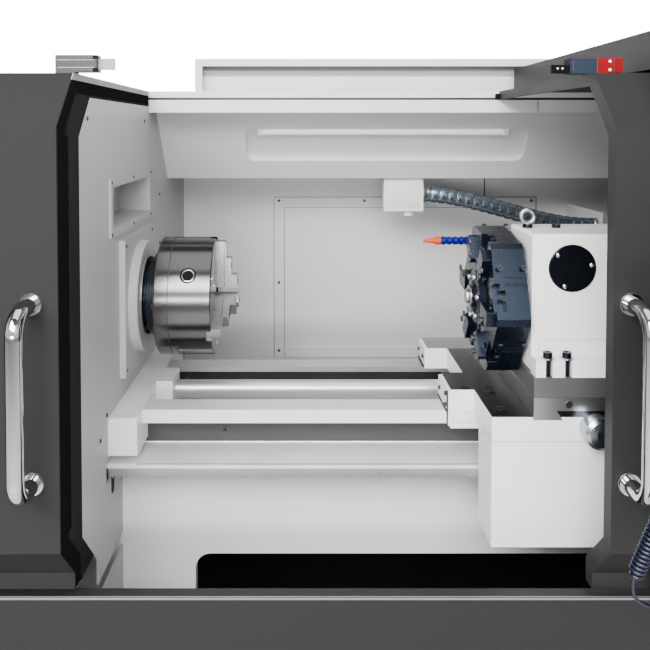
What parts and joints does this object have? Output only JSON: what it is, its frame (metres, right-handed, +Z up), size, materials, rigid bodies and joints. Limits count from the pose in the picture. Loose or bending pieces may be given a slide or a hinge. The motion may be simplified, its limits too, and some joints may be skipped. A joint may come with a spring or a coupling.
{
  "type": "cnc turning lathe",
  "caption": "Flat-bed turning lathe in a sheet-metal enclosure, with sliding front doors, a three-jaw chuck and a turret on a cross slide.",
  "frame": {"origin": "on the floor under the middle of the machine", "axes": "+X along the spindle to the right, +Y to the back, +Z up"},
  "size_m": [2.24, 1.6, 1.663],
  "materials": {
    "dark_paint": "textured dark grey powder coat",
    "light_paint": "smooth light grey paint",
    "casting_paint": "off-white machine enamel with ground iron ways",
    "black_steel": "black, oily",
    "ground_steel": "ground steel",
    "chuck_steel": "turned and ground steel",
    "blued_steel": "blued steel, oiled",
    "chrome": "polished",
    "rubber": "matt black",
    "glass": "clear safety glass",
    "lamp_glass": "frosted lamp tube",
    "bearing_steel": "ground",
    "motor_paint": "dark grey motor paint",
    "cast_iron": "cast",
    "nozzle_plastic": "blue and orange plastic",
    "switch_plastic": "red, blue and black plastic",
    "conduit_metal": "bright riveted links",
    "cord_rubber": "glossy dark navy",
    "panel_plastic": "dark control box",
    "stop_red": "red mushroom button",
    "knob_black": "black",
    "fittings_black": "blackened fasteners and bright eye bolt",
    "key_metal": "cast zinc"
  },
  "bodies": {
    "machine": {"base_cabinet": "dark_paint", "levelling_feet": "ground_steel", "chip_tray": "black_steel", "coolant_tank": "black_steel", "bed": "casting_paint", "gear_rack": "ground_steel", "left_cover": "dark_paint", "headstock_wall": "light_paint", "roof_panel": "light_paint", "back_wall": "light_paint", "lamp_beam": "light_paint", "lamp_tube": "lamp_glass", "right_hood": "dark_paint", "spindle_ring": "light_paint", "headstock": "cast_iron", "spindle_bearings": "bearing_steel", "spindle_motor": "motor_paint", "drive_belt": "rubber", "feed_drive": "cast_iron", "cable_box": "light_paint", "metal_conduit": "conduit_metal", "control_box": "panel_plastic", "hand_pendant": "knob_black", "pendant_cord": "cord_rubber", "pendant_tail": "cord_rubber", "cabinet_case": "light_paint"},
    "left_door": {"left_door_panel": "dark_paint", "left_door_seal": "rubber", "left_door_window": "glass", "left_handle": "chrome", "interlock_key": "key_metal"},
    "right_door": {"right_door_panel": "dark_paint", "right_door_window": "glass", "right_handle": "chrome", "interlock_switch": "switch_plastic"},
    "spindle": {"spindle_shaft": "ground_steel", "chuck_adapter": "blued_steel", "chuck_body": "chuck_steel"},
    "scroll": {"scroll_plate": "ground_steel"},
    "pinion_a": {"pinion_1": "ground_steel"},
    "pinion_b": {"pinion_2": "ground_steel"},
    "pinion_c": {"pinion_3": "ground_steel"},
    "jaw_a": {"jaw_1": "chuck_steel"},
    "jaw_b": {"jaw_2": "chuck_steel"},
    "jaw_c": {"jaw_3": "chuck_steel"},
    "motor_drive": {"motor_pulley": "cast_iron"},
    "screw": {"lead_screw": "ground_steel"},
    "carriage": {"saddle": "casting_paint", "carriage_apron": "casting_paint", "cross_screw_cap": "chrome"},
    "cross_slide_unit": {"cross_slide": "casting_paint", "turret_housing": "casting_paint", "housing_fittings": "fittings_black", "coolant_nozzle": "nozzle_plastic"},
    "turret": {"turret_disc": "blued_steel", "turret_hub": "blued_steel"},
    "stop": {"stop_button": "stop_red"},
    "knob": {"feed_knob": "knob_black"},
    "wheel": {"pendant_wheel": "knob_black"},
    "cabinet_lid": {"cabinet_door": "dark_paint"}
  },
  "joints": [
    {"name": "left_door_slide", "type": "slide", "parent": "machine", "child": "left_door", "axis": [1, 0, 0], "range_m": [0, 0.498]},
    {"name": "right_door_slide", "type": "slide", "parent": "machine", "child": "right_door", "axis": [1, 0, 0], "range_m": [-0.326, 0]},
    {"name": "spindle_spin", "type": "hinge", "parent": "machine", "child": "spindle", "pos_m": [-0.45, -0.055, 1.12], "axis": [1, 0, 0], "continuous": true},
    {"name": "motor_spin", "type": "hinge", "parent": "machine", "child": "motor_drive", "pos_m": [-0.98, 0.215, 0.38], "axis": [1, 0, 0], "continuous": true},
    {"name": "scroll_turn", "type": "hinge", "parent": "spindle", "child": "scroll", "pos_m": [-0.33, -0.055, 1.12], "axis": [1, 0, 0], "range_deg": [-446, 356]},
    {"name": "carriage_slide", "type": "slide", "parent": "machine", "child": "carriage", "axis": [1, 0, 0], "range_m": [-0.33, 0.03]},
    {"name": "screw_spin", "type": "hinge", "parent": "machine", "child": "screw", "pos_m": [0.2, -0.055, 0.914], "axis": [1, 0, 0], "range_deg": [-11900, 1100]},
    {"name": "cross_slide_feed", "type": "slide", "parent": "carriage", "child": "cross_slide_unit", "axis": [0, 1, 0], "range_m": [-0.015, 0.12]},
    {"name": "turret_index", "type": "hinge", "parent": "cross_slide_unit", "child": "turret", "pos_m": [0.24, -0.258, 1.162], "axis": [1, 0, 0], "continuous": true},
    {"name": "stop_press", "type": "slide", "parent": "machine", "child": "stop", "axis": [0, 1, 0], "range_m": [0, 0.006], "stiffness_N_per_m": 600},
    {"name": "feed_knob_turn", "type": "hinge", "parent": "machine", "child": "knob", "pos_m": [0.8, -0.765, 1.11], "axis": [0, 1, 0], "range_deg": [-135, 135]},
    {"name": "pendant_wheel_turn", "type": "hinge", "parent": "machine", "child": "wheel", "pos_m": [0.37, -0.77, 1.15], "axis": [0, 1, 0], "continuous": true},
    {"name": "cabinet_door_swing", "type": "hinge", "parent": "machine", "child": "cabinet_lid", "pos_m": [0.388, 0.793, 1.13], "axis": [0, 0, 1], "range_deg": [-110, 0]},
    {"name": "pinion_a_turn", "type": "hinge", "parent": "spindle", "child": "pinion_a", "pos_m": [-0.351, -0.15026, 1.175], "axis": [0, -0.866, 0.5], "range_deg": [-1058, 1328]},
    {"name": "pinion_b_turn", "type": "hinge", "parent": "spindle", "child": "pinion_b", "pos_m": [-0.351, 0.04026, 1.175], "axis": [0, 0.866, 0.5], "range_deg": [-1058, 1328]},
    {"name": "pinion_c_turn", "type": "hinge", "parent": "spindle", "child": "pinion_c", "pos_m": [-0.351, -0.055, 1.01], "axis": [0, 0, -1], "range_deg": [-1058, 1328]},
    {"name": "jaw_a_travel", "type": "slide", "parent": "spindle", "child": "jaw_a", "axis": [0, 0, 1], "range_m": [-0.0098, 0.0078]},
    {"name": "jaw_b_travel", "type": "slide", "parent": "spindle", "child": "jaw_b", "axis": [0, -0.866, -0.5], "range_m": [-0.01, 0.008]},
    {"name": "jaw_c_travel", "type": "slide", "parent": "spindle", "child": "jaw_c", "axis": [0, 0.866, -0.5], "range_m": [-0.01, 0.008]}
  ],
  "couplings": [
    {"joint": "motor_spin", "follows": "spindle_spin", "ratio": 1.9},
    {"joint": "screw_spin", "follows": "carriage_slide", "rad_per_m": 628.32},
    {"joint": "scroll_turn", "follows": "jaw_a_travel", "rad_per_m": 785.4},
    {"joint": "pinion_a_turn", "follows": "jaw_a_travel", "rad_per_m": -2356.2},
    {"joint": "pinion_b_turn", "follows": "jaw_a_travel", "rad_per_m": -2356.2},
    {"joint": "pinion_c_turn", "follows": "jaw_a_travel", "rad_per_m": -2356.2},
    {"joint": "jaw_b_travel", "follows": "jaw_a_travel", "ratio": 1},
    {"joint": "jaw_c_travel", "follows": "jaw_a_travel", "ratio": 1}
  ]
}
